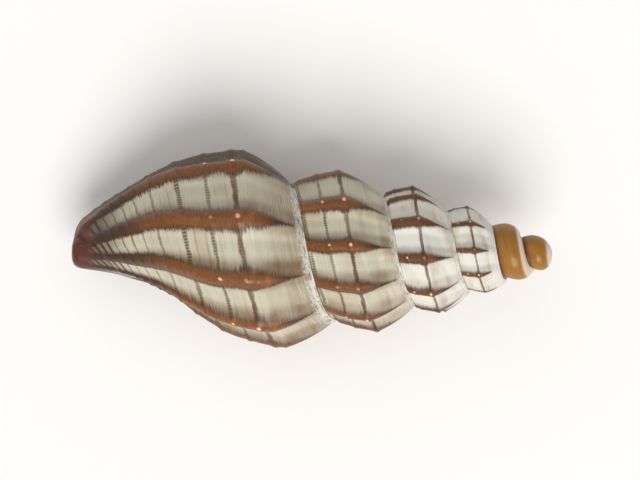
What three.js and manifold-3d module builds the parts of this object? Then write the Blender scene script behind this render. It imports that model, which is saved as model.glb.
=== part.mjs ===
// Shell of a small high-spired sea snail, lying on its aperture with its back up.
// The coiling axis runs along X, with the apex toward +X and the siphonal canal toward -X, and it
// rises a little toward the apex, because the shell rests on its last whorl.
// The outer lip is on the +Y side, and the surface that the shell rests on is Z = 0.
// Millimetres. Turns are counted back from the top of the last whorl's +Y side toward the apex,
// and angles go round the axis from +Z toward +Y, the way the shell grew.
import * as THREE from 'three';
import Module from 'manifold-3d';
import { mergeVertices } from 'three/addons/utils/BufferGeometryUtils.js';

// Driving dimensions of the whole shell
const AXIS_Y = -0.0597;
const AXIS_Z = 0.85;
const APEX_UP_DEG = 5.5;
const CANAL_END_X = -2.651;
const CANAL_MOUTH_X = -2.66;
const APEX_X = 2.672;
const APEX_TURN = 6;
const LENGTH = APEX_X - CANAL_END_X;

// Each pair is a turn and a length at that turn.
const SHOULDER_X = [
  [-0.1, -0.86], [0, -0.75], [0.5, -0.26], [1, 0.32], [1.5, 0.76], [2, 1.14], [2.5, 1.47],
  [3, 1.739], [3.5, 1.96], [4, 2.139], [4.5, 2.3], [5, 2.44], [5.5, 2.55], [6, 2.672],
];
const SUTURE_X = [
  [-1.1, -1.45], [-0.5, -0.75], [0, -0.2], [0.5, 0.29], [1, 0.806], [2, 1.506], [3, 1.99],
  [4, 2.306], [4.5, 2.46], [5, 2.672], [6, 2.672],
];
const SHOULDER_RADIUS = [
  [-0.1, 1.185], [0, 1.18], [0.25, 1.115], [0.5, 1.05], [1, 0.935], [1.5, 0.865], [2, 0.757],
  [2.5, 0.672], [3, 0.533], [3.5, 0.44], [4, 0.344], [4.5, 0.29], [5, 0.215], [5.5, 0.185], [6, 0.02],
];
const SUTURE_RADIUS = [
  [-0.1, 0.785], [0, 0.772], [0.5, 0.728], [1, 0.628], [2, 0.472], [3, 0.335], [4, 0.228],
  [4.5, 0.15], [5, 0], [6, 0],
];

// The side below the shoulder. Each pair is a distance below the shoulder and the radius there,
// both as shares of the shoulder's radius. The waisted side is that of every whorl away from
// the outer lip, the full one that of the lip itself.
const WAISTED_SIDE = [
  [0, 1], [0.11, 0.985], [0.25, 0.958], [0.4, 0.915], [0.55, 0.868], [0.74, 0.76], [0.92, 0.64],
  [1.11, 0.49], [1.24, 0.415], [1.43, 0.323], [1.56, 0.285], [1.81, 0.215], [2.06, 0.175],
  [2.3, 0.14], [3.3, 0.11],
];
const FULL_SIDE = [
  [0, 1], [0.18, 0.985], [0.4, 0.955], [0.63, 0.897], [0.85, 0.803], [1.08, 0.662],
  [1.3, 0.512], [1.47, 0.376], [1.57, 0.291], [1.62, 0.2],
];
// The ramp from the shoulder (0) up to the suture (1), and the share of the rise left there
const RAMP = [[0, 1], [0.3, 0.85], [0.6, 0.59], [0.8, 0.3], [0.95, 0.03], [1, 0]];

// Ribs: numbers of some crests, counted back from the first one behind the lip, and how many
// degrees back from turn 0 each of them is
const RIB_AT = [
  [-1, -8], [0, 28], [1, 69], [2, 106], [3, 141], [4, 178], [6, 253], [7, 287], [9, 362],
  [10, 410], [11, 444], [12, 476], [13, 507], [14, 537], [20, 720], [21, 746], [22, 778],
  [23, 814], [24, 850], [25, 882], [31, 1080], [32, 1126], [33, 1165], [34, 1200], [35, 1245],
  [42, 1510],
];
const RIB_DEPTH = 0.105;
// Where a rib's crest ends and the hollow beside it is full, as shares of the way to the next rib
const RIB_CREST = 0.02;
const RIB_HOLLOW = 0.42;
// Turns between which the ribs die out toward the smooth apex
const RIBS_FADE_TURN = 3.3;
const RIBLESS_TURN = 3.65;
// On the ramp a rib's height runs out at the suture, this steeply
const RIB_RAMP_SLOPE = 2.2;
// Shares of the shoulder's radius below it, between which the ribs lean and between which they end
const RIB_LEAN_DEG = 8;
const LEAN_START = 0.3;
const LEAN_END = 1.1;
const RIB_END_START = 0.35;
const RIB_END = 2;
// Turns over which the side goes from full, at the lip, to waisted
const FULL_TURN = 0.02;
const WAISTED_TURN = 0.5;

// Outer lip, and the hollow behind it
const LIP_ANGLE = 112;
const LIP_THICKNESS = 0.2;
const WALL = 0.07;
const GLAZE = 0.08;
const WALL_MOST = 0.4;
const GLAZE_MOST = 0.25;
const HOLLOW_TURNS = 0.34;
const HOLLOW_TOP_GAP = 0.1;
const HOLLOW_END_GAP = 0.05;
const HOLLOW_BOTTOM_X = -1.3;
const HOLLOW_SHRINK = 0.55;
const CANAL_OUT_SPEED = 1.6;
const LIP_THIN_SPEED = 4;
const CANAL_END_TURN = 0.2;
const CANAL_END_OFFSET = 0.1;
const APEX_CLOSE = 0.03;

// Rows and columns of points
const RIB_COLUMNS = [0, 0.2, 0.5, 0.8];
const SMOOTH_COLUMNS = 20;
const CROWDED_TURN = 0.004;
const APEX_FREE_TURN = 0.02;
const RAMP_ROWS = [1, 0.88, 0.62, 0.32, 0];
const SIDE_ROWS = [0.3, 0.65, 0.92, 1];
const BASE_ROWS = 11;
const HOLLOW_STEPS = 7;
const HOLLOW_ROWS = 9;
const HOLLOW_RAMP = [0.85, 0.55, 0.25, 0];
const ROUND_TRIP = 3 * LENGTH;

// A smooth curve through pairs, with no overshoot between them
function through(pairs) {
  const slopes = pairs.slice(1).map(([x, y], i) => (y - pairs[i][1]) / (x - pairs[i][0]));
  const last = slopes.length - 1;
  const tangents = pairs.map((_, i) => {
    const before = slopes[Math.max(i - 1, 0)];
    const after = slopes[Math.min(i, last)];
    if (before * after <= 0) {
      return 0;
    }
    return (2 * before * after) / (before + after);
  });
  return (x) => {
    const beyond = pairs.findIndex((pair) => pair[0] > x);
    const k = beyond < 0 ? last : Math.max(beyond - 1, 0);
    const width = pairs[k + 1][0] - pairs[k][0];
    const t = THREE.MathUtils.clamp((x - pairs[k][0]) / width, 0, 1);
    const rise = t * t * (3 - 2 * t);
    const leave = t * (1 - t) * (1 - t);
    const arrive = t * t * (t - 1);
    return (
      pairs[k][1] * (1 - rise) + pairs[k + 1][1] * rise +
      width * (leave * tangents[k] + arrive * tangents[k + 1])
    );
  };
}

// Straight lines through pairs, from either number of a pair to the other, carried on past the ends
function along(pairs, from, to) {
  return (x) => {
    const beyond = pairs.findIndex((pair) => pair[from] > x);
    const i = beyond < 0 ? pairs.length - 2 : Math.max(beyond - 1, 0);
    const t = (x - pairs[i][from]) / (pairs[i + 1][from] - pairs[i][from]);
    return pairs[i][to] + t * (pairs[i + 1][to] - pairs[i][to]);
  };
}

const shoulderX = through(SHOULDER_X);
const sutureX = through(SUTURE_X);
const shoulderRadius = through(SHOULDER_RADIUS);
const sutureRadius = through(SUTURE_RADIUS);
const waistedSide = through(WAISTED_SIDE);
const fullSide = through(FULL_SIDE);
const ramp = through(RAMP);
const ribAtDegrees = along(RIB_AT, 1, 0);
const degreesAtRib = along(RIB_AT, 0, 1);
const { lerp, smoothstep } = THREE.MathUtils;

const angleOf = (turn) => 90 - 360 * turn;
const LIP_TURN = (90 - LIP_ANGLE) / 360;
const SEAM_TURN = LIP_TURN + 1;

// Share of the rib's height that is missing beside a crest: 0 on a crest, 1 between two
function ribHollow(turn, lean) {
  const number = ribAtDegrees(360 * turn + lean);
  const beside = Math.abs(number - Math.round(number));
  return smoothstep(beside, RIB_CREST, RIB_HOLLOW);
}

// Rib height at a turn, as a share of the shoulder's radius there
function ribDepth(turn) {
  return RIB_DEPTH * (1 - smoothstep(turn, RIBS_FADE_TURN, RIBLESS_TURN));
}

// Rib height on the ramp, which ends at the suture
function rampRib(turn, share) {
  return shoulderRadius(turn) * ribDepth(turn) * Math.min(1, RIB_RAMP_SLOPE * (1 - share));
}

// The ramp, from the suture (share 1) to the shoulder (share 0)
function rampPoint(turn, share) {
  const round = smoothstep(turn, RIBS_FADE_TURN, RIBLESS_TURN);
  const rise = lerp(ramp(share), Math.sqrt(1 - share * share), round);
  const smooth = lerp(sutureRadius(turn), shoulderRadius(turn), rise);
  return {
    x: lerp(shoulderX(turn), sutureX(turn), share),
    radius: smooth - rampRib(turn, share) * ribHollow(turn, 0),
  };
}

// Radius below the shoulder at a distance down the axis, as high as the rib crests
function sideRadius(turn, below) {
  const high = shoulderRadius(turn);
  const fullness = 1 - smoothstep(turn, FULL_TURN, WAISTED_TURN);
  return high * lerp(waistedSide(below / high), fullSide(below / high), fullness);
}

// Rib height at a distance below the shoulder
function sideRib(turn, below) {
  const high = shoulderRadius(turn);
  return high * ribDepth(turn) * (1 - smoothstep(below / high, RIB_END_START, RIB_END));
}

function sidePoint(turn, below) {
  const lean = RIB_LEAN_DEG * smoothstep(below / shoulderRadius(turn), LEAN_START, LEAN_END);
  return {
    x: shoulderX(turn) - below,
    radius: sideRadius(turn, below) - sideRib(turn, below) * ribHollow(turn, lean),
  };
}

// Distance from the shoulder down to the next whorl's suture line, which the last whorl keeps
// as a line of its side
const sideLength = (turn) => shoulderX(turn) - sutureX(turn - 1);

function basePoint(turn, share) {
  const end = shoulderX(turn) - CANAL_END_X;
  return sidePoint(turn, lerp(sideLength(turn), end, share));
}

// A point of the half plane of a turn. Its x is a length as seen from above, on the axis
function place(turn, { x, radius }) {
  const angle = THREE.MathUtils.degToRad(angleOf(turn));
  const rise = THREE.MathUtils.degToRad(APEX_UP_DEG);
  const up = radius * Math.cos(angle);
  return [
    x - up * Math.sin(rise),
    AXIS_Y + radius * Math.sin(angle),
    AXIS_Z + x * Math.tan(rise) + up * Math.cos(rise),
  ];
}

// Turns at which the surface has a column of points: on each rib, beside it and between ribs
function columnTurns() {
  const turns = [LIP_TURN, SEAM_TURN];
  for (let rib = Math.floor(ribAtDegrees(360 * LIP_TURN)); ; rib += 1) {
    const ribTurns = RIB_COLUMNS.map((share) => degreesAtRib(rib + share) / 360);
    turns.push(...ribTurns);
    if (ribTurns[0] > RIBLESS_TURN) {
      break;
    }
  }
  for (let turn = RIBLESS_TURN; turn < APEX_TURN - APEX_FREE_TURN; turn += 1 / SMOOTH_COLUMNS) {
    turns.push(turn);
  }
  const isFixed = (turn) => turn === LIP_TURN || turn === SEAM_TURN;
  return turns
    .filter((turn) => turn >= LIP_TURN && turn < APEX_TURN)
    .sort((a, b) => a - b)
    .filter((turn, i, all) => {
      const crowded = all.some((other, j) => j !== i && Math.abs(other - turn) < CROWDED_TURN
        && (isFixed(other) || j < i));
      return isFixed(turn) || !crowded;
    });
}

const vertices = [];
const triangles = [];

function vertex(point) {
  vertices.push(point);
  return vertices.length - 1;
}

// Points that fall together at the apex make no triangle
function triangle(a, b, c) {
  if (a !== b && b !== c && c !== a) {
    triangles.push([a, b, c]);
  }
}

// Two rows that run side by side, joined by triangles; keys say how far along each point is
function zip(rowA, keysA, rowB, keysB) {
  let a = 0;
  let b = 0;
  while (a < rowA.length - 1 || b < rowB.length - 1) {
    const nextA = a < rowA.length - 1 ? keysA[a + 1] : Infinity;
    const nextB = b < rowB.length - 1 ? keysB[b + 1] : Infinity;
    if (nextA <= nextB) {
      triangle(rowA[a + 1], rowA[a], rowB[b]);
      a += 1;
    } else {
      triangle(rowA[a], rowB[b], rowB[b + 1]);
      b += 1;
    }
  }
}

// The outer surface, column by column, with the suture line shared by the whorls on both sides
function outerSurface() {
  const turns = columnTurns();
  const apex = vertex(place(APEX_TURN, { x: APEX_X, radius: 0 }));
  const atApex = (turn) => sutureRadius(turn) < APEX_CLOSE;
  const columns = turns.map((turn) => {
    const rows = RAMP_ROWS.map((share, row) => {
      const closed = row === 0 && atApex(turn);
      return closed ? apex : vertex(place(turn, rampPoint(turn, share)));
    });
    SIDE_ROWS.slice(0, -1).forEach((share) => {
      rows.push(vertex(place(turn, sidePoint(turn, share * sideLength(turn)))));
    });
    return rows;
  });
  const seam = turns.indexOf(SEAM_TURN);
  for (let c = 0; c <= seam; c += 1) {
    for (let row = 0; row <= BASE_ROWS; row += 1) {
      if (c === seam && row === 0) {
        columns[c].push(columns[0][0]);
      } else {
        columns[c].push(vertex(place(turns[c], basePoint(turns[c], row / BASE_ROWS))));
      }
    }
  }
  const last = RAMP_ROWS.length + SIDE_ROWS.length - 2;
  for (let c = 0; c < turns.length - 1; c += 1) {
    const rows = c < seam ? columns[c].length : last + 1;
    for (let row = 0; row < rows - 1; row += 1) {
      const [a, b] = [columns[c][row], columns[c][row + 1]];
      const [d, e] = [columns[c + 1][row], columns[c + 1][row + 1]];
      triangle(a, b, d);
      triangle(b, e, d);
    }
  }
  const end = columns[turns.length - 1];
  for (let row = 0; row < last; row += 1) {
    triangle(end[row], end[row + 1], apex);
  }
  const lower = turns.map((turn, c) => c).filter((c) => c >= seam);
  const upper = turns.map((turn, c) => c).filter((c) => !atApex(turns[c]));
  zip(
    [...lower.map((c) => columns[c][last]), apex],
    [...lower.map((c) => turns[c] - 1), APEX_TURN],
    [...upper.map((c) => columns[c][0]), apex],
    [...upper.map((c) => turns[c]), APEX_TURN - 1],
  );
  const canalEnd = vertex(place(CANAL_END_TURN, { x: CANAL_MOUTH_X, radius: CANAL_END_OFFSET }));
  for (let c = 0; c < seam; c += 1) {
    triangle(columns[c + 1].at(-1), columns[c].at(-1), canalEnd);
  }
  return { lip: columns[0], inner: columns[seam].slice(last + 2), canalEnd };
}

// Radius of the last whorl's outer side at a place on the axis, as low as between two ribs
function outerRadius(turn, x) {
  const below = shoulderX(turn) - x;
  if (below > 0) {
    return sideRadius(turn, below) - sideRib(turn, below);
  }
  const share = -below / (sutureX(turn) - shoulderX(turn));
  return lerp(sutureRadius(turn), shoulderRadius(turn), ramp(share)) - rampRib(turn, share);
}

// The hollow's outline in the half plane through the axis at a turn: down the outer wall and
// back up the columella
function hollowOutline(turn, depth) {
  const top = sutureX(turn) - HOLLOW_TOP_GAP;
  const inward = Math.min(1, CANAL_OUT_SPEED * depth);
  const bottom = lerp(CANAL_END_X + HOLLOW_END_GAP, HOLLOW_BOTTOM_X, inward);
  const shoulder = shoulderX(turn);
  const outer = HOLLOW_RAMP.map((share) => lerp(shoulder, top, share));
  for (let row = 1; row <= HOLLOW_ROWS; row += 1) {
    outer.push(lerp(shoulder, bottom, row / HOLLOW_ROWS));
  }
  const inner = [];
  for (let row = HOLLOW_ROWS; row >= 0; row -= 1) {
    inner.push(lerp(top, bottom, row / HOLLOW_ROWS));
  }
  const wall = lerp(LIP_THICKNESS, WALL, Math.min(1, LIP_THIN_SPEED * depth));
  const limits = (x) => {
    const far = outerRadius(turn, x);
    const near = sideRadius(turn + 1, shoulderX(turn + 1) - x);
    return { far, near, gap: far - near };
  };
  return [
    ...outer.map((x) => {
      const { far, gap } = limits(x);
      return { x, radius: far - Math.min(wall, WALL_MOST * gap) };
    }),
    ...inner.map((x) => {
      const { near, gap } = limits(x);
      return { x, radius: near + Math.min(GLAZE, GLAZE_MOST * gap) };
    }),
  ];
}

// The aperture's rim and the hollow behind it
function hollow(rim) {
  const outlines = [];
  for (let step = 0; step <= HOLLOW_STEPS; step += 1) {
    const depth = step / HOLLOW_STEPS;
    const turn = LIP_TURN + HOLLOW_TURNS * depth;
    const outline = hollowOutline(turn, depth);
    const middle = outline.reduce((sum, p) => sum + p.radius, 0) / outline.length;
    const middleX = outline.reduce((sum, p) => sum + p.x, 0) / outline.length;
    const shrink = 1 - HOLLOW_SHRINK * depth ** 3;
    outlines.push(outline.map((p) => vertex(place(turn, {
      x: lerp(middleX, p.x, shrink),
      radius: lerp(middle, p.radius, shrink),
    }))));
  }
  const halfway = HOLLOW_RAMP.length + HOLLOW_ROWS;
  const loop = (row) => [...row, row[0]];
  const keys = (row, turnRound) => {
    const xs = row.map((id) => vertices[id][0]);
    const downAndUp = xs.map((x, i) => (i < turnRound ? -x : ROUND_TRIP + x));
    return [...downAndUp, ROUND_TRIP];
  };
  const rimRow = [...rim.lip, rim.canalEnd, ...[...rim.inner].reverse()];
  zip(
    loop(rimRow), keys(rimRow, rim.lip.length + 1),
    loop(outlines[0]), keys(outlines[0], halfway),
  );
  for (let step = 0; step < HOLLOW_STEPS; step += 1) {
    const [near, far] = [loop(outlines[step]), loop(outlines[step + 1])];
    for (let i = 0; i < near.length - 1; i += 1) {
      triangle(near[i + 1], near[i], far[i]);
      triangle(near[i + 1], far[i], far[i + 1]);
    }
  }
  const end = outlines[HOLLOW_STEPS];
  const centre = vertex([0, 1, 2].map(
    (k) => end.reduce((sum, id) => sum + vertices[id][k], 0) / end.length,
  ));
  loop(end).slice(1).forEach((id, i) => triangle(id, end[i], centre));
}

hollow(outerSurface());

const wasm = await Module();
wasm.setup();

function solid(positions, indices) {
  return new wasm.Manifold(new wasm.Mesh({
    numProp: 3,
    vertProperties: Float32Array.from(positions.flat()),
    triVerts: Uint32Array.from(indices.flat()),
  }));
}

// The ribs under the shell are worn flat where it rests, level with the surface
const slabBox = new THREE.BoxGeometry(2 * LENGTH, 2 * LENGTH, LENGTH);
slabBox.deleteAttribute('normal');
slabBox.deleteAttribute('uv');
const slab = mergeVertices(slabBox);
slab.translate(0, 0, -LENGTH / 2);
const under = solid(Array.from(slab.getAttribute('position').array), Array.from(slab.index.array));
const { vertProperties, triVerts } = solid(vertices, triangles).subtract(under).getMesh();

const geometry = new THREE.BufferGeometry();
geometry.setAttribute('position', new THREE.BufferAttribute(vertProperties, 3));
geometry.setIndex(new THREE.BufferAttribute(triVerts, 1));
geometry.computeVertexNormals();

const shellMaterial = new THREE.MeshStandardMaterial({
  color: 0xa98b62,
  roughness: 0.35,
  metalness: 0,
});
const shell = new THREE.Mesh(geometry, shellMaterial);
shell.name = 'shell';

const part = new THREE.Group();
part.add(shell);
export default part;
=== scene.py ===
import math

import bpy
import numpy as np
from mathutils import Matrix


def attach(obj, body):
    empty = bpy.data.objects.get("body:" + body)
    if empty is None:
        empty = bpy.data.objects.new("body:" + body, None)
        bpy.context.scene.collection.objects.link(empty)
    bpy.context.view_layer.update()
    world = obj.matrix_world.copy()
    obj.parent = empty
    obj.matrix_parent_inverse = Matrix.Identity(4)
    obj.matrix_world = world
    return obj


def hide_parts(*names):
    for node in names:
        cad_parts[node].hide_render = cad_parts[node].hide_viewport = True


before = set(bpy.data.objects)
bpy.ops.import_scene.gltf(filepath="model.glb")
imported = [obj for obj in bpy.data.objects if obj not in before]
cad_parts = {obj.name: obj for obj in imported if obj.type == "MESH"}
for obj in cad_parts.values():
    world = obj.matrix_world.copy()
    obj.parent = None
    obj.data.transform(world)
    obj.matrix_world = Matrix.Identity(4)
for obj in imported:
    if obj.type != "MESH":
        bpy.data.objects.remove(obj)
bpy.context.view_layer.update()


# The shell. The real one is a single tube of lime, laid down round an axis that runs along X and
# rises a little toward the apex at +X. Turns are counted back from the top of the last whorl's +Y
# side, and lengths are millimetres until the finished mesh gets its real size.
MM = 0.001
AXIS_Y = -0.0597
AXIS_Z = 0.85
APEX_UP = math.radians(5.5)
APEX_X = 2.671
CANAL_END_X = -2.65
LAST_TURN = 5.93
LIP_ANGLE = 112
LIP_TURN = (90 - LIP_ANGLE) / 360
SEAM_TURN = LIP_TURN + 1
# The skin lies this far inside the growth curves, so that cords and knobs stay in the box
SKIN = 0.005

# Pairs of turn and place along the axis, or turn and distance from it
SHOULDER_X = (
    (-0.1, -0.86), (0, -0.75), (0.5, -0.26), (1, 0.32), (1.5, 0.76), (2, 1.14), (2.5, 1.47),
    (3, 1.739), (3.5, 1.96), (4, 2.139), (4.5, 2.3), (5, 2.44), (5.5, 2.55), (6, 2.671),
)
SUTURE_X = (
    (-1.1, -1.45), (-0.5, -0.75), (0, -0.2), (0.5, 0.29), (1, 0.806), (2, 1.506), (3, 1.99),
    (4, 2.306), (4.5, 2.46), (5, 2.671), (6, 2.671),
)
SHOULDER_RADIUS = (
    (-0.1, 1.185), (0, 1.18), (0.25, 1.115), (0.5, 1.05), (1, 0.935), (1.5, 0.865), (2, 0.757),
    (2.5, 0.672), (3, 0.533), (3.5, 0.44), (4, 0.344), (4.5, 0.29), (5, 0.215), (5.5, 0.185),
    (6, 0.02),
)
SUTURE_RADIUS = (
    (-0.1, 0.785), (0, 0.772), (0.5, 0.728), (1, 0.628), (2, 0.472), (3, 0.335), (4, 0.228),
    (4.5, 0.15), (5, 0), (6, 0),
)
# The side below the shoulder, both as shares of the shoulder's radius. Levels are such shares too
WAISTED_SIDE = (
    (0, 1), (0.11, 0.985), (0.25, 0.958), (0.4, 0.915), (0.55, 0.868), (0.74, 0.76), (0.92, 0.64),
    (1.11, 0.49), (1.24, 0.415), (1.43, 0.323), (1.56, 0.285), (1.81, 0.215), (2.06, 0.175),
    (2.3, 0.14), (3.3, 0.11),
)
FULL_SIDE = (
    (0, 1), (0.18, 0.985), (0.4, 0.955), (0.63, 0.897), (0.85, 0.803), (1.08, 0.662),
    (1.3, 0.512), (1.47, 0.376), (1.57, 0.291), (1.62, 0.2),
)
FULL_TURNS = (0.02, 0.5)
# The ramp, from the shoulder (0) up to the suture (1), and its rise from suture to shoulder
RAMP = ((0, 1), (0.2, 0.87), (0.5, 0.62), (0.8, 0.29), (0.95, 0.03), (1, 0))

# Ribs: the number of each measured rib and how many degrees back it stands
RIB_AT = (
    (-1, -8), (0, 28), (1, 69), (2, 106), (3, 141), (4, 178), (6, 253), (7, 287), (9, 362),
    (10, 410), (11, 444), (12, 476), (13, 507), (14, 537), (20, 720), (21, 746), (22, 778),
    (23, 814), (24, 850), (25, 882), (31, 1080), (32, 1126), (33, 1165), (34, 1200), (35, 1245),
    (42, 1510), (65, 2200),
)
RIB_DEPTH = 0.105
RIB_FLANK = (0.01, 0.36)
RIB_LEAN = 8
RIB_LEAN_LEVELS = (0.3, 1.1)
RIB_END_LEVELS = (0.35, 2)
RIB_RAMP_END = 2.2
SMOOTH_FROM = (3.3, 3.65)

# Spiral cords: level below the shoulder, height, half width, darkness, share broken into dots
CORDS = (
    (0.115, 0.009, 0.036, 0.95, 0.1), (0.38, 0.005, 0.025, 0.85, 0.3),
    (0.66, 0.008, 0.03, 0.95, 0.4), (0.92, 0.005, 0.016, 0.7, 0.3),
    (1.08, 0.005, 0.013, 0.7, 0.3), (1.2, 0.005, 0.013, 0.8, 0.3),
    (1.3, 0.005, 0.012, 0.75, 0.3), (1.39, 0.005, 0.012, 0.8, 0.25),
)
CORD_SINK = 0.4
KNOB_HEIGHT = 0.006
# On the spire the cords stand higher on the whorl, the first one on the shoulder itself
CORD_RISE = 0.1
CORD_RISE_TURNS = (0.55, 0.95)
CORDED_TURN = 2.1
FAINT_LINES = (0.2, 0.31, 0.45, 0.56, 0.76, 0.84, 1.0, 1.14)
# The cord beside the suture: place on the ramp, height, half width, and where it fades out
SUTURE_CORD = (0.9, 0.02, 0.05)
SUTURE_CORD_FADE = (0.94, 1)

# Slow waves of growth: steps per turn and per level, and the start
WANDER = 0.0008
WAVES = ((17.3, 2.1, 0), (29.9, -3.7, 1.3))


def curve(pairs, at):
    """A smooth curve through pairs, with no overshoot between them."""
    x, y = np.array(pairs, float).T
    slope = np.diff(y) / np.diff(x)
    before = np.concatenate([slope[:1], slope])
    after = np.concatenate([slope, slope[-1:]])
    product = before * after
    tangent = np.where(product > 0, 2 * product / np.where(product > 0, before + after, 1), 0)
    k = np.clip(np.searchsorted(x, at, side="right") - 1, 0, len(x) - 2)
    width = x[k + 1] - x[k]
    t = np.clip((at - x[k]) / width, 0, 1)
    blend = t * t * (3 - 2 * t)
    bend = t * (1 - t) ** 2 * tangent[k] - t * t * (1 - t) * tangent[k + 1]
    return y[k] * (1 - blend) + y[k + 1] * blend + width * bend


def ease(at, start, end):
    t = np.clip((at - start) / (end - start), 0, 1)
    return t * t * (3 - 2 * t)


def mix(a, b, share):
    return a + (b - a) * share


def rib_number(turn, lean):
    """The ribs counted along a turn: a whole number on each crest."""
    numbers, degrees = np.array(RIB_AT, float).T
    back = 360 * turn + lean
    first = (numbers[1] - numbers[0]) / (degrees[1] - degrees[0])
    before = numbers[0] + (back - degrees[0]) * first
    return np.where(back < degrees[0], before, np.interp(back, degrees, numbers))


def rib_hollow(number):
    """How far the surface is from a rib's crest to the flat between two ribs, 0 to 1."""
    beside = np.abs(number - np.round(number))
    return ease(beside, *RIB_FLANK)


def rib_depth(turn):
    return RIB_DEPTH * (1 - ease(turn, *SMOOTH_FROM))


def cord_height(turn, level, hollow):
    """Height of the spiral cords, which swell to a small knob on each rib."""
    crest = (1 - hollow) ** 3
    level = level + CORD_RISE * ease(turn, *CORD_RISE_TURNS)
    high = 0
    for at, height, wide, *_ in CORDS:
        ridge = height * (1 - CORD_SINK * hollow) + KNOB_HEIGHT * crest
        high = high + ridge * np.exp(-((level - at) / wide) ** 2)
    return high


def wander(turn, level):
    """The slight unevenness of growth, as a share of the radius, and never outward."""
    waves = [np.sin(per_turn * turn + per_level * level + start) for per_turn, per_level, start in WAVES]
    return WANDER * (sum(waves) - len(waves))


def ramp_place(turn, share):
    """Place along the axis and radius on the ramp, from the shoulder (0) to the suture (1)."""
    low = curve(SUTURE_RADIUS, turn)
    high = curve(SHOULDER_RADIUS, turn)
    smooth = ease(turn, *SMOOTH_FROM)
    rise = mix(curve(RAMP, share), np.sqrt(np.clip(1 - share * share, 0, 1)), smooth)
    hollow = rib_hollow(rib_number(turn, 0)) * np.minimum(1, RIB_RAMP_END * (1 - share))
    at, height, wide = SUTURE_CORD
    cord = height * high * np.exp(-((share - at) / wide) ** 2) * (1 - smooth)
    cord = cord * (1 - ease(share, *SUTURE_CORD_FADE))
    radius = mix(low, high, rise) - high * rib_depth(turn) * hollow + cord
    radius = radius + high * wander(turn, -share) * (1 - share)
    x = mix(curve(SHOULDER_X, turn), curve(SUTURE_X, turn), share)
    return x, radius


def side_radius(turn, below):
    """The side's radius with no ribs or cords. The last half turn is fuller than the others."""
    high = curve(SHOULDER_RADIUS, turn)
    full = 1 - ease(turn, *FULL_TURNS)
    return high * mix(curve(WAISTED_SIDE, below / high), curve(FULL_SIDE, below / high), full)


def side_place(turn, below):
    """The side, from the shoulder down, with its ribs and spiral cords."""
    high = curve(SHOULDER_RADIUS, turn)
    level = below / high
    number = rib_number(turn, RIB_LEAN * ease(level, *RIB_LEAN_LEVELS))
    hollow = rib_hollow(number)
    depth = high * rib_depth(turn) * hollow * (1 - ease(level, *RIB_END_LEVELS))
    cords = cord_height(turn, level, hollow) * high * (1 - ease(turn, *SMOOTH_FROM))
    radius = side_radius(turn, below) - depth + cords + high * wander(turn, level)
    return curve(SHOULDER_X, turn) - below, radius, number, level


def side_length(turn):
    return curve(SHOULDER_X, turn) - curve(SUTURE_X, turn - 1)


def wrap(turn, x, radius):
    """Puts a place on the half plane of a turn into the shell's own space, worn flat below."""
    angle = np.radians(90 - 360 * turn)
    up = radius * np.cos(angle)
    worn = np.maximum(AXIS_Z + x * math.tan(APEX_UP) + up * math.cos(APEX_UP), 0)
    return np.stack([x - up * math.sin(APEX_UP), AXIS_Y + radius * np.sin(angle), worn], axis=-1)


# The whorls' outer face. A flat grid is wound up round the axis, one row for each step from the
# suture above down to the suture below, and the two edges meet along the suture line, as the real
# tube is fixed to the turn before it.
COLUMNS_PER_TURN = 180
RAMP_ROWS = 22
SIDE_LEVELS = (
    0, 0.01, 0.02, 0.035, 0.055, 0.075, 0.09, 0.102, 0.112, 0.122, 0.135, 0.155, 0.185, 0.22,
    0.25, 0.265, 0.28, 0.295, 0.32, 0.345, 0.363, 0.376, 0.388, 0.402,
)
SIDE_ROWS = len(SIDE_LEVELS) + 4
LEVELLED_SHARE = 0.86
# The outer lip's edge: its notch in the ramp, its forward side, and how far back both reach
NOTCH_TURN = 0.022
FORWARD_TURN = 0.006
EDGE_REACH = 0.06
# The last part of a side, drawn in to the suture below it
SEAM_SHARE = 0.9
SEAM_REACH = 0.04
APEX_GAP = 0.001


def sheet_of(name, columns, rows):
    """A grid with columns + 1 by rows + 1 points, and each point's column and row."""
    bpy.ops.object.select_all(action="DESELECT")
    bpy.ops.mesh.primitive_grid_add(x_subdivisions=columns, y_subdivisions=rows, size=2)
    piece = bpy.context.object
    piece.name = name
    places = np.empty(len(piece.data.vertices) * 3)
    piece.data.vertices.foreach_get("co", places)
    places = places.reshape(-1, 3)
    column = np.rint((places[:, 0] + 1) / 2 * columns).astype(int)
    row = np.rint((places[:, 1] + 1) / 2 * rows).astype(int)
    return piece, column, row


def set_places(piece, places):
    piece.data.vertices.foreach_set("co", places.reshape(-1))
    piece.data.update()


def set_map(piece, name, across, up):
    """Writes a UV map from two values at each point, as the sheet lies before it is joined."""
    layer = piece.data.uv_layers.get(name) or piece.data.uv_layers.new(name=name)
    corners = np.empty(len(piece.data.loops), dtype=int)
    piece.data.loops.foreach_get("vertex_index", corners)
    values = np.stack([across[corners], up[corners]], axis=-1)
    layer.data.foreach_set("uv", values.reshape(-1))


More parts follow.
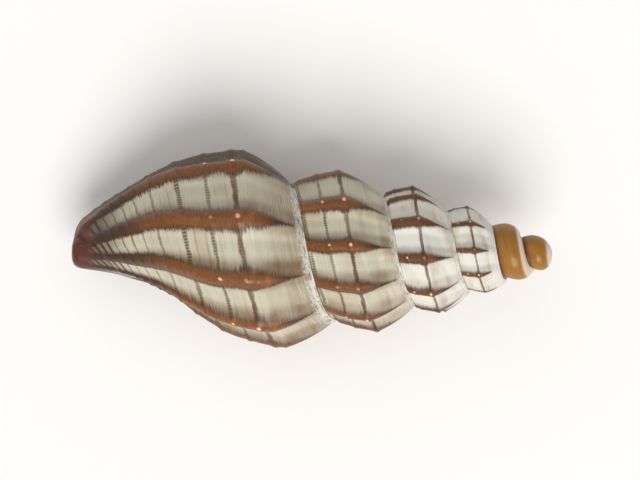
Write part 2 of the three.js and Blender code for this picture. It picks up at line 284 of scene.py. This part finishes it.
def whorl_rows(turn, row):
    """Place, rib number and level of the points between two sutures."""
    share = np.clip(1 - row / RAMP_ROWS, 0, 1)
    step = np.clip((row - RAMP_ROWS) / SIDE_ROWS, 0, 1)
    edge = NOTCH_TURN * np.sin(math.pi * share) ** 2 - FORWARD_TURN * ease(step, 0, 1)
    turn = turn + edge * (1 - ease(turn, LIP_TURN, LIP_TURN + EDGE_REACH))
    ramp_x, ramp_radius = ramp_place(turn, share)
    down = np.clip(row - RAMP_ROWS, 0, SIDE_ROWS)
    last = len(SIDE_LEVELS) - 1
    high = curve(SHOULDER_RADIUS, turn)
    length = side_length(turn)
    shrink = np.minimum(1, LEVELLED_SHARE * length / (SIDE_LEVELS[last] * high))
    below = high * shrink * np.interp(down, np.arange(last + 1), SIDE_LEVELS)
    below = mix(below, length, np.clip((down - last) / (SIDE_ROWS - last), 0, 1))
    side_x, side_r, number, level = side_place(turn, below)
    drawn_in = ease(below / length, SEAM_SHARE, 1) * ease(turn, SEAM_TURN - SEAM_REACH, SEAM_TURN)
    side_r = mix(side_r, curve(SUTURE_RADIUS, turn - 1), drawn_in)
    on_ramp = row < RAMP_ROWS
    x = np.where(on_ramp, ramp_x, side_x)
    radius = np.where(on_ramp, ramp_radius, side_r)
    number = np.where(on_ramp, rib_number(turn, 0), number)
    level = np.where(on_ramp, -share, level)
    return turn, x, radius - SKIN * (1 - drawn_in) * (1 - ease(share, SEAM_SHARE, 1)), number, level


whorl_columns = round((LAST_TURN - LIP_TURN) * COLUMNS_PER_TURN)
whorls, whorl_column, whorl_row = sheet_of("whorls", whorl_columns, RAMP_ROWS + SIDE_ROWS)
grown = LIP_TURN + whorl_column / COLUMNS_PER_TURN
turn, whorl_x, whorl_radius, number, level = whorl_rows(grown, whorl_row)
whorl_places = wrap(turn, whorl_x, whorl_radius)
# The first turns of the real shell close on one point
at_apex = (whorl_row == 0) & (whorl_column >= whorl_columns - COLUMNS_PER_TURN)
at_apex = at_apex | (whorl_column == whorl_columns)
whorl_places[at_apex] = wrap(np.array(LAST_TURN), np.array(APEX_X - APEX_GAP), np.array(0.0))
set_places(whorls, whorl_places)
set_map(whorls, "growth", number, level)
set_map(whorls, "turn", turn, np.clip((whorl_row - RAMP_ROWS) / SIDE_ROWS, 0, 1))

# The base and canal. Only the last turn shows its side down to the canal, so this sheet goes once
# round, from the outer lip back to the columella under it.
BASE_ROWS = 112
BASE_SEAM_SHARE = 0.06
TIP_LENGTH = 0.1
TIP_WIDTH = 0.62


def base_rows(turn, row):
    """Place, rib number and level of the points from the suture's height down to the canal."""
    share = row / BASE_ROWS
    end = curve(SHOULDER_X, turn) - CANAL_END_X
    x, radius, number, level = side_place(turn, mix(side_length(turn), end, share))
    near_lip = 1 - ease(turn, LIP_TURN, LIP_TURN + EDGE_REACH)
    forward = -FORWARD_TURN * near_lip * (1 - ease(share, 0.5, 1))
    drawn_in = ease(turn, SEAM_TURN - SEAM_REACH, SEAM_TURN) * (1 - ease(share, 0, BASE_SEAM_SHARE))
    radius = mix(radius, curve(SUTURE_RADIUS, turn - 1), drawn_in) - SKIN * (1 - drawn_in)
    to_end = np.clip((x - CANAL_END_X) / TIP_LENGTH, 0, 1)
    radius = radius * mix(TIP_WIDTH, 1, np.sqrt(1 - (1 - to_end) ** 2))
    return turn + forward, x, radius, number, level


base, base_column, base_row = sheet_of("base", COLUMNS_PER_TURN, BASE_ROWS)
grown = LIP_TURN + base_column / COLUMNS_PER_TURN
turn, base_x, base_radius, number, level = base_rows(grown, base_row)
base_places = wrap(turn, base_x, base_radius)
last_row = whorl_row == RAMP_ROWS + SIDE_ROWS
in_order = np.argsort(whorl_column[last_row], kind="stable")
shared_edge = whorl_places[last_row][in_order]
first_row = base_row == 0
base_places[first_row] = shared_edge[base_column[first_row]]
set_places(base, base_places)
set_map(base, "growth", number, level)
set_map(base, "turn", turn, np.ones(len(turn)))

# The outer lip and the inside. The lip is rolled over from the outer face, thick where the last
# rib backs it, and thins again inside. The glaze of the columella and of the wall across the
# turn before closes the other side.
LIP_ROLL = (
    (0, 0, 0), (0.02, -0.0022, 0.01), (0.06, -0.004, 0.03), (0.11, -0.0035, 0.05),
    (0.15, -0.001, 0.065), (0.175, 0.004, 0.075), (0.185, 0.01, 0.08), (0.18, 0.02, 0.08),
)
INSIDE_STEPS = 26
INSIDE_TURNS = 0.62
WALL = 0.09
GLAZE = 0.07
TOP_GAP = 0.09
CANAL_GAP = 0.02
DEEP_BOTTOM_X = -1.2
SETTLED_DEPTH = 0.12
# The most of the room between the two walls that the lip and the glaze may take
LIP_SHARE = 0.42
GLAZE_SHARE = 0.4
CAP_FORWARD = 0.03


def ordered(values, wanted, keys):
    chosen = np.nonzero(wanted)[0]
    return values[chosen[np.argsort(keys[chosen], kind="stable")]]


def lip_line(of_whorls, of_base):
    """Values along the outer lip, from the suture down to the canal."""
    return np.concatenate([
        ordered(of_whorls, whorl_column == 0, whorl_row),
        ordered(of_base, (base_column == 0) & (base_row > 0), base_row),
    ])


def inner_line(of_base):
    """Values along the columella's edge, from the canal back up to the suture."""
    return ordered(of_base, base_column == COLUMNS_PER_TURN, -base_row)[1:]


end_ring = ordered(base_places, (base_row == BASE_ROWS) & (base_column > 0), base_column)
rim = np.concatenate([lip_line(whorl_places, base_places), end_ring, inner_line(base_places)])
lip_x, lip_radius = lip_line(whorl_x, base_x), lip_line(whorl_radius, base_radius)
inner_x, inner_radius = inner_line(base_x), inner_line(base_radius)
ring_share = np.linspace(0, 1, len(end_ring) + 2)[1:-1, None]


def section(turn, depth, inset, glaze):
    """The inside's outline in the half plane of a turn, in the rim's order."""
    settled = ease(depth, 0, SETTLED_DEPTH)
    top = curve(SUTURE_X, turn) - TOP_GAP * ease(depth, 0, 0.08)
    bottom = mix(CANAL_END_X + CANAL_GAP, DEEP_BOTTOM_X, ease(depth, 0.02, 0.8))
    length = lip_x[-1] - lip_x[0]
    out_x = mix(top, bottom, (lip_x - lip_x[0]) / length)
    in_x = mix(top, bottom, (inner_x - lip_x[0]) / length)
    turns = np.full(len(out_x), turn)
    shoulder = curve(SHOULDER_X, turns)
    share = np.clip((out_x - shoulder) / (curve(SUTURE_X, turns) - shoulder), 0, 1)
    below = np.maximum(shoulder - out_x, 0)
    high = curve(SHOULDER_RADIUS, turns)
    ribless = high * rib_depth(turns) * (1 - ease(below / high, *RIB_END_LEVELS))
    flank = side_radius(turns, below) - ribless
    far = np.where(out_x > shoulder, np.minimum(ramp_place(turns, share)[1], flank + 0.02), flank)
    far = mix(lip_radius, far, settled)
    whole = np.full(len(in_x), turn + 1)
    near = mix(inner_radius, side_radius(whole, curve(SHOULDER_X, whole) - in_x), settled)
    out_x = mix(lip_x, out_x, settled)
    in_x = mix(inner_x, in_x, settled)
    near_there = np.interp(-out_x, -in_x[::-1], near[::-1])
    far_there = np.interp(-in_x, -out_x, far)
    far = far - np.minimum(inset, LIP_SHARE * np.maximum(far - near_there, 0))
    near = near + np.minimum(glaze, GLAZE_SHARE * np.maximum(far_there - near, 0))
    outer = wrap(turns, out_x, far)
    inner = wrap(whole, in_x, near)
    return outer, mix(outer[-1], inner[0], ring_share), inner


loops = [rim]
ring_centre = end_ring.mean(axis=0)
for step, (inset, forward, glaze) in enumerate(LIP_ROLL[1:]):
    share = (step + 1) / len(LIP_ROLL)
    outer, bottom, inner = section(LIP_TURN + forward, 0, inset, glaze)
    cap = mix(end_ring, ring_centre, 0.5 * share) + np.array([CAP_FORWARD * share, 0, 0])
    loops.append(np.concatenate([outer, mix(cap, bottom, ease(share, 0.1, 1)), inner]))
roll_inset, roll_turn, _ = LIP_ROLL[-1]
for step in range(1, INSIDE_STEPS):
    depth = step / INSIDE_STEPS
    inset = mix(roll_inset, WALL, ease(depth, 0, 0.2))
    turn_here = LIP_TURN + roll_turn + (INSIDE_TURNS - roll_turn) * depth
    outline = np.concatenate(section(turn_here, depth, inset, GLAZE))
    loops.append(mix(outline, outline.mean(axis=0), 0.5 * depth ** 3))
loops.append(np.repeat(loops[-1].mean(axis=0)[None], len(rim), axis=0))
loops = np.stack(loops)

inside, inside_column, inside_row = sheet_of("inside", len(rim), len(loops) - 1)
set_places(inside, loops[inside_row, inside_column % len(rim)])
inward = inside_row / (len(loops) - 1)
set_map(inside, "growth", np.full(len(inward), 0.5), inward)
set_map(inside, "turn", np.full(len(inward), -1.0), inward)

# The three sheets are joined edge to edge into one closed skin, which faces out.
WELD = 2e-5
bpy.ops.object.select_all(action="DESELECT")
for sheet in (whorls, base, inside):
    sheet.select_set(True)
bpy.context.view_layer.objects.active = whorls
bpy.ops.object.join()
shell = bpy.context.object
shell.name = "grown_shell"
shell.data.name = "grown_shell"
bpy.ops.object.mode_set(mode="EDIT")
bpy.ops.mesh.select_all(action="SELECT")
bpy.ops.mesh.remove_doubles(threshold=WELD)
bpy.ops.mesh.dissolve_degenerate(threshold=WELD)
bpy.ops.mesh.select_all(action="SELECT")
bpy.ops.mesh.normals_make_consistent(inside=False)
bpy.ops.object.mode_set(mode="OBJECT")
bpy.ops.object.shade_smooth()
places = np.empty(len(shell.data.vertices) * 3)
shell.data.vertices.foreach_get("co", places)
set_places(shell, places * MM)
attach(shell, "root")
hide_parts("shell")


# The shell's finish. Lime with a glassy surface, pale between ribs, with brown in the ribs and in
# the spiral threads, a whitish line under each suture, and a plain amber apex. Two maps carry it:
# rib number and level, and turn and share of the way down the side.
finish = bpy.data.materials.new("shell")
finish.use_nodes = True
nodes = finish.node_tree.nodes
links = finish.node_tree.links
skin = nodes["Principled BSDF"]


def put(socket, value):
    if isinstance(value, bpy.types.NodeSocket):
        links.new(value, socket)
    else:
        socket.default_value = value


def value_of(operation, *values):
    node = nodes.new("ShaderNodeMath")
    node.operation = operation
    for socket, value in zip(node.inputs, values):
        put(socket, value)
    return node.outputs[0]


def step_of(value, start, end, low=0.0, high=1.0):
    """Goes smoothly from low to high while the value goes from start to end."""
    node = nodes.new("ShaderNodeMapRange")
    node.interpolation_type = "SMOOTHSTEP"
    for socket, given in zip(node.inputs, (value, start, end, low, high)):
        put(socket, given)
    return node.outputs[0]


def both(first, second):
    return value_of("MULTIPLY", first, second)


def blend_of(first, second, share):
    node = nodes.new("ShaderNodeMix")
    node.data_type = "RGBA"
    put(node.inputs[0], share)
    put(node.inputs[6], first)
    put(node.inputs[7], second)
    return node.outputs[2]


def noise_of(across, up, scales, detail):
    """Noise on the surface's own coordinates, stretched by its two scales."""
    place = nodes.new("ShaderNodeCombineXYZ")
    put(place.inputs[0], both(across, scales[0]))
    put(place.inputs[1], both(up, scales[1]))
    node = nodes.new("ShaderNodeTexNoise")
    node.inputs["Scale"].default_value = 1
    node.inputs["Detail"].default_value = detail
    links.new(place.outputs[0], node.inputs["Vector"])
    return node.outputs["Fac"]


def paint(red, green, blue):
    """A colour from its 0 to 255 values on a screen."""
    shares = [value / 255 for value in (red, green, blue)]
    return tuple(((s + 0.055) / 1.055) ** 2.4 if s > 0.04 else s / 12.92 for s in shares) + (1,)


def coordinates(name):
    node = nodes.new("ShaderNodeUVMap")
    node.uv_map = name
    parts = nodes.new("ShaderNodeSeparateXYZ")
    links.new(node.outputs[0], parts.inputs[0])
    return parts.outputs[0], parts.outputs[1]


PALE = paint(192, 186, 164)
CHALK = paint(219, 217, 206)
PINKISH = paint(224, 206, 192)
TAN = paint(168, 146, 108)
FAINT = paint(146, 132, 98)
SUTURE_WHITE = paint(216, 213, 204)
SUTURE_GREY = paint(132, 120, 106)
RIB_BROWN = paint(122, 70, 18)
RIB_LIGHT = paint(150, 90, 26)
RIB_DARK = paint(60, 32, 10)
THREAD = paint(80, 38, 12)
# Brown painted shade, beside the rib bands and toward the last suture
PAINTED_SHADE = paint(126, 98, 70)
DOT = paint(78, 58, 24)
MAROON = paint(82, 30, 0)
AMBER = paint(148, 98, 18)
AMBER_DEEP = paint(92, 48, 8)
PINK_WHITE = paint(222, 200, 182)
# Painted shade, dark brown, on the back of the outer lip and along its edge
PAINTED_LIP_SHADE = paint(56, 33, 14)
LIP_LINE = paint(176, 140, 96)
# Painted highlight, for the glints on the cord knobs
PAINTED_GLINT = paint(238, 196, 156)
INSIDE_TAN = paint(176, 134, 100)
FIRST_CORD = CORDS[0][0]
SECOND_CORD = CORDS[1][0]
DOTS_PER_TURN = 165
CLOSE_LINE_STEP = 0.066
THREAD_SWAY = 0.009

rib, height = coordinates("growth")
round_turn, lower = coordinates("turn")
off_rib = value_of("SUBTRACT", value_of("FRACT", value_of("ADD", rib, 100.5)), 0.5)
beside = value_of("ABSOLUTE", off_rib)
up_ramp = both(height, -1.0)
cord_place = value_of("ADD", height, step_of(round_turn, *CORD_RISE_TURNS, 0.0, CORD_RISE))
sway = step_of(noise_of(rib, 0.0, (1.7, 1.0), 2.0), 0.3, 0.7, -THREAD_SWAY, THREAD_SWAY)
cord_place = value_of("ADD", cord_place, sway)
place_node = nodes.new("ShaderNodeTexCoord")
split = nodes.new("ShaderNodeSeparateXYZ")
links.new(place_node.outputs["Object"], split.inputs[0])
along_axis = both(split.outputs[0], 1 / MM)

striae = noise_of(round_turn, height, (10.0, 95.0), 2.0)
cloud = noise_of(round_turn, height, (9.0, 3.0), 3.0)
grain = noise_of(round_turn, height, (130.0, 40.0), 2.0)
tint = noise_of(round_turn, height, (7.0, 6.0), 1.0)
rough_spots = noise_of(round_turn, height, (48.0, 22.0), 3.0)

# The pale ground, chalkier on the spire, with clouds and faint growth lines, and brown painted shade
# that gathers on both sides of a rib's band and on the last whorl's ramp toward the suture
ground = blend_of(PALE, CHALK, step_of(round_turn, 1.2, 2.4))
pinkish = both(step_of(tint, 0.5, 0.72), step_of(round_turn, 0.8, 2.4, 0.1, 0.8))
ground = blend_of(ground, PINKISH, pinkish)
ground = blend_of(ground, TAN, step_of(cloud, 0.45, 0.75, 0.0, 0.45))
growth_lines = both(step_of(striae, 0.5, 0.7), step_of(round_turn, 0.9, 2.2, 0.34, 0.1))
ground = blend_of(ground, FAINT, growth_lines)
# Painted shade in brown on both sides of each rib's band
upper_rib_shade = both(step_of(off_rib, -0.46, -0.2, 0.0, 0.95), step_of(off_rib, 0.02, 0.0))
lower_rib_shade = both(step_of(off_rib, 0.28, 0.14, 0.0, 0.5), step_of(off_rib, -0.02, 0.0))
rib_shade = both(value_of("ADD", upper_rib_shade, lower_rib_shade), step_of(cloud, 0.35, 0.7, 0.5, 1.0))
ground = blend_of(ground, PAINTED_SHADE, both(rib_shade, step_of(round_turn, 0.7, 2.0, 1.0, 0.25)))
# Painted shade on the last whorl's ramp, toward the suture
suture_shade = both(step_of(up_ramp, 0.1, 0.7, 0.0, 0.6), step_of(round_turn, 0.7, 0.3))
ground = blend_of(ground, PAINTED_SHADE, both(suture_shade, step_of(striae, 0.38, 0.62, 0.25, 1.0)))

# Spiral threads, uneven in width and broken into dots where the growth lines cross them
uneven = step_of(noise_of(rib, height, (5.0, 9.0), 2.0), 0.3, 0.7, 0.78, 1.25)


def line_at(at, half):
    away = both(value_of("ABSOLUTE", value_of("SUBTRACT", cord_place, at)), uneven)
    return step_of(away, half, half * 0.45)


beads = value_of("SINE", both(round_turn, 2 * math.pi * DOTS_PER_TURN))
threads = 0.0
for order, (at, _, half, dark, dots) in enumerate(CORDS):
    broken = both(step_of(beads, -0.7, 0.3, 1 - dots, 1.0), step_of(cloud, 0.3, 0.6, 0.7, 1.0))
    line = both(both(line_at(at, half), broken), dark)
    if order > 0:
        line = both(line, step_of(round_turn, CORDED_TURN, CORDED_TURN - 0.3))
    threads = value_of("MAXIMUM", threads, line)
for at in FAINT_LINES:
    faint = both(line_at(at, 0.013), step_of(round_turn, 0.98, 0.9, 0.0, 0.3))
    threads = value_of("MAXIMUM", threads, both(faint, step_of(cloud, 0.4, 0.65)))
close_lines = step_of(value_of("SINE", both(height, 2 * math.pi / CLOSE_LINE_STEP)), -0.1, 0.7)
close_lines = both(close_lines, step_of(height, 1.42, 1.46, 0.0, 0.95))
threads = value_of("MAXIMUM", threads, close_lines)
foot = both(step_of(lower, 0.93, 0.95), step_of(lower, 0.985, 0.965))
foot = both(foot, step_of(beads, -0.4, 0.6, 0.45, 0.8))
threads = value_of("MAXIMUM", threads, both(foot, step_of(round_turn, 0.93, 1.0)))
thread_colour = blend_of(THREAD, DOT, step_of(cord_place, 0.15, 0.34))
colour = blend_of(ground, thread_colour, threads)

# Rib bands, finely toothed along their edges, and narrowing to a point below the suture
half_band = step_of(height, 0.0, 1.5, 0.165, 0.24)
half_band = both(half_band, step_of(up_ramp, 0.0, 0.85, 1.0, 0.1))
half_band = both(half_band, step_of(round_turn, 1.8, 3.2, 1.0, 0.62))
half_band = value_of("ADD", half_band, both(line_at(FIRST_CORD, 0.09), 0.03))
half_band = both(half_band, step_of(cloud, 0.35, 0.65, 1.14, 0.9))
coarse_teeth = step_of(striae, 0.3, 0.7, -0.022, 0.026)
fine_teeth = step_of(grain, 0.3, 0.7, -0.014, 0.014)
teeth = both(value_of("ADD", coarse_teeth, fine_teeth), step_of(round_turn, 0.6, 1.4, 1.0, 0.6))
toothed = value_of("ADD", half_band, teeth)
soft = step_of(off_rib, 0.0, -0.05, 0.04, 0.075)
band = step_of(beside, value_of("ADD", toothed, soft), value_of("SUBTRACT", toothed, soft))
band = both(band, step_of(up_ramp, 0.92, 0.82))
edge_of_band = value_of("DIVIDE", beside, half_band)
band_colour = blend_of(RIB_BROWN, RIB_LIGHT, step_of(cloud, 0.5, 0.75))
for darker in (
    step_of(edge_of_band, 0.4, 1.1),
    step_of(height, 0.7, 1.4),
    step_of(up_ramp, 0.15, 0.6),
    step_of(round_turn, 0.6, 2.4, 0.0, 0.5),
    step_of(grain, 0.42, 0.7, 0.0, 0.4),
):
    band_colour = blend_of(band_colour, RIB_DARK, darker)
colour = blend_of(colour, band_colour, band)


def glints_at(at, small, large):
    """Painted highlights: round pale glints on one cord's knobs, on some ribs bright and on others
    hardly there.
    """
    order = value_of("SUBTRACT", rib, off_rib)
    chance = value_of("FRACT", value_of("ADD", both(order, 0.618), at * 7))
    across = value_of("ADD", both(off_rib, 0.62), 0.012)
    up = value_of("SUBTRACT", cord_place, at)
    away = value_of("ADD", both(across, across), both(up, up))
    dot = step_of(away, large * large, small * small)
    return both(dot, step_of(chance, 0.2, 0.6, 0.25, 0.95))


# Painted highlights on the knobs of the first two cords
painted_glints = value_of("MAXIMUM", glints_at(FIRST_CORD, 0.008, 0.03), glints_at(SECOND_CORD, 0.006, 0.022))
colour = blend_of(colour, PAINTED_GLINT, both(painted_glints, step_of(round_turn, 3.6, 3.3)))

# The rough white line under the suture, painted shade on the back of the lip and the dark red canal
white_start = step_of(round_turn, 0.4, 1.2, 0.82, 0.875)
white_colour = blend_of(SUTURE_WHITE, SUTURE_GREY, step_of(rough_spots, 0.48, 0.62, 0.0, 0.75))
edge_of_white = value_of("ADD", up_ramp, step_of(grain, 0.3, 0.7, -0.07, 0.07))
white_line = step_of(edge_of_white, white_start, value_of("ADD", white_start, 0.07))
white_line = both(white_line, step_of(grain, 0.66, 0.46, 0.3, 0.95))
colour = blend_of(colour, white_colour, white_line)
upper_white = both(step_of(up_ramp, 0.55, 0.68), step_of(round_turn, 2.95, 3.15))
colour = blend_of(colour, SUTURE_WHITE, upper_white)
colour = blend_of(colour, LIP_LINE, both(step_of(rib, -0.17, -0.2), step_of(rib, -0.4, -0.3)))
# Painted shade on the back of the outer lip
lip_back_shade = both(step_of(rib, -0.25, -0.31), step_of(rib, -1.05, -0.75, 0.2, 1.0))
colour = blend_of(colour, PAINTED_LIP_SHADE, both(lip_back_shade, step_of(cloud, 0.3, 0.6, 0.86, 1.0)))
colour = blend_of(colour, RIB_DARK, step_of(along_axis, -1.95, -2.38, 0.0, 0.8))
colour = blend_of(colour, MAROON, step_of(along_axis, -2.38, -2.5))

# The apex: smooth amber turns with a pale line along the suture
bud = blend_of(AMBER, AMBER_DEEP, step_of(height, 0.2, 0.6))
bud = blend_of(bud, AMBER_DEEP, step_of(cloud, 0.5, 0.75, 0.0, 0.5))
bud = blend_of(bud, AMBER_DEEP, step_of(lower, 0.75, 1.0, 0.0, 0.8))
bud_edge = value_of("ADD", up_ramp, step_of(grain, 0.3, 0.7, -0.08, 0.08))
bud = blend_of(bud, PINK_WHITE, step_of(bud_edge, 0.6, 0.74, 0.0, 0.85))
colour = blend_of(colour, bud, step_of(round_turn, 3.6, 3.68))

# The inside is plain: dark red at the canal, painted shade at the lip's edge, tan within
within = step_of(round_turn, -0.5, -0.9)
# Painted shade at the lip's edge, tan deeper in
inside_colour = blend_of(PAINTED_LIP_SHADE, INSIDE_TAN, step_of(height, 0.05, 0.3))
inside_colour = blend_of(inside_colour, MAROON, step_of(along_axis, -2.1, -2.5))
colour = blend_of(colour, inside_colour, within)

links.new(colour, skin.inputs["Base Color"])
put(skin.inputs["Roughness"], step_of(striae, 0.3, 0.7, 0.34, 0.5))
skin.inputs["IOR"].default_value = 1.46
skin.inputs["Coat Weight"].default_value = 0.15
skin.inputs["Coat Roughness"].default_value = 0.12
skin.inputs["Subsurface Weight"].default_value = 0.06
skin.inputs["Subsurface Radius"].default_value = (1.0, 0.7, 0.4)
skin.inputs["Subsurface Scale"].default_value = 0.00008
bump = nodes.new("ShaderNodeBump")
bump.inputs["Distance"].default_value = 0.000006
bump.inputs["Strength"].default_value = 0.6
links.new(both(striae, step_of(round_turn, 3.6, 3.7, 1.0, 0.0)), bump.inputs["Height"])
links.new(bump.outputs[0], skin.inputs["Normal"])
shell.data.materials.clear()
shell.data.materials.append(finish)


# The floor is a plain pale sheet, big enough to fill every view, a hair below the worn flat.
FLOOR_SIZE = 0.6
FLOOR_GAP = 0.000002
bpy.ops.mesh.primitive_plane_add(size=FLOOR_SIZE, location=(0, 0, -FLOOR_GAP))
floor = bpy.context.object
floor.name = "floor"
pale = bpy.data.materials.new("floor")
pale.use_nodes = True
pale.node_tree.nodes["Principled BSDF"].inputs["Base Color"].default_value = (0.86, 0.84, 0.82, 1)
pale.node_tree.nodes["Principled BSDF"].inputs["Roughness"].default_value = 0.8
floor.data.materials.append(pale)


# Soft studio light: a broad key from the -Y side and a weak fill, with a bright even surround, so
# that the shell's +Y side is the darker one, as in the photograph.
def lamp(name, angles, strength, spread):
    bpy.ops.object.light_add(type="SUN", rotation=[math.radians(a) for a in angles])
    light = bpy.context.object
    light.name = name
    light.data.energy = strength
    light.data.angle = math.radians(spread)


lamp("key_light", (38, 6, 0), 2.5, 40)
lamp("fill_light", (-24, -30, 0), 0.4, 60)
world = bpy.data.worlds.new("surround")
world.use_nodes = True
world.node_tree.nodes["Background"].inputs["Color"].default_value = (1, 0.99, 0.98, 1)
world.node_tree.nodes["Background"].inputs["Strength"].default_value = 0.46
bpy.context.scene.world = world
bpy.context.scene.view_settings.view_transform = "Standard"


# The camera looks straight down, as the photograph does, with 90 pixels to the millimetre at the
# height of the shell's axis.
PIXELS_PER_MM = 90
FRAME_WIDTH = 640
CENTRE_X = 0.1056
CENTRE_Y = 0.0944
LENS = 200
SENSOR = 36
reach = FRAME_WIDTH / PIXELS_PER_MM * LENS / SENSOR
bpy.ops.object.camera_add(location=(CENTRE_X * MM, CENTRE_Y * MM, (AXIS_Z + reach) * MM))
camera = bpy.context.object
camera.data.lens = LENS
camera.data.sensor_width = SENSOR
camera.data.clip_start = 0.001
camera.data.clip_end = 10
bpy.context.scene.camera = camera
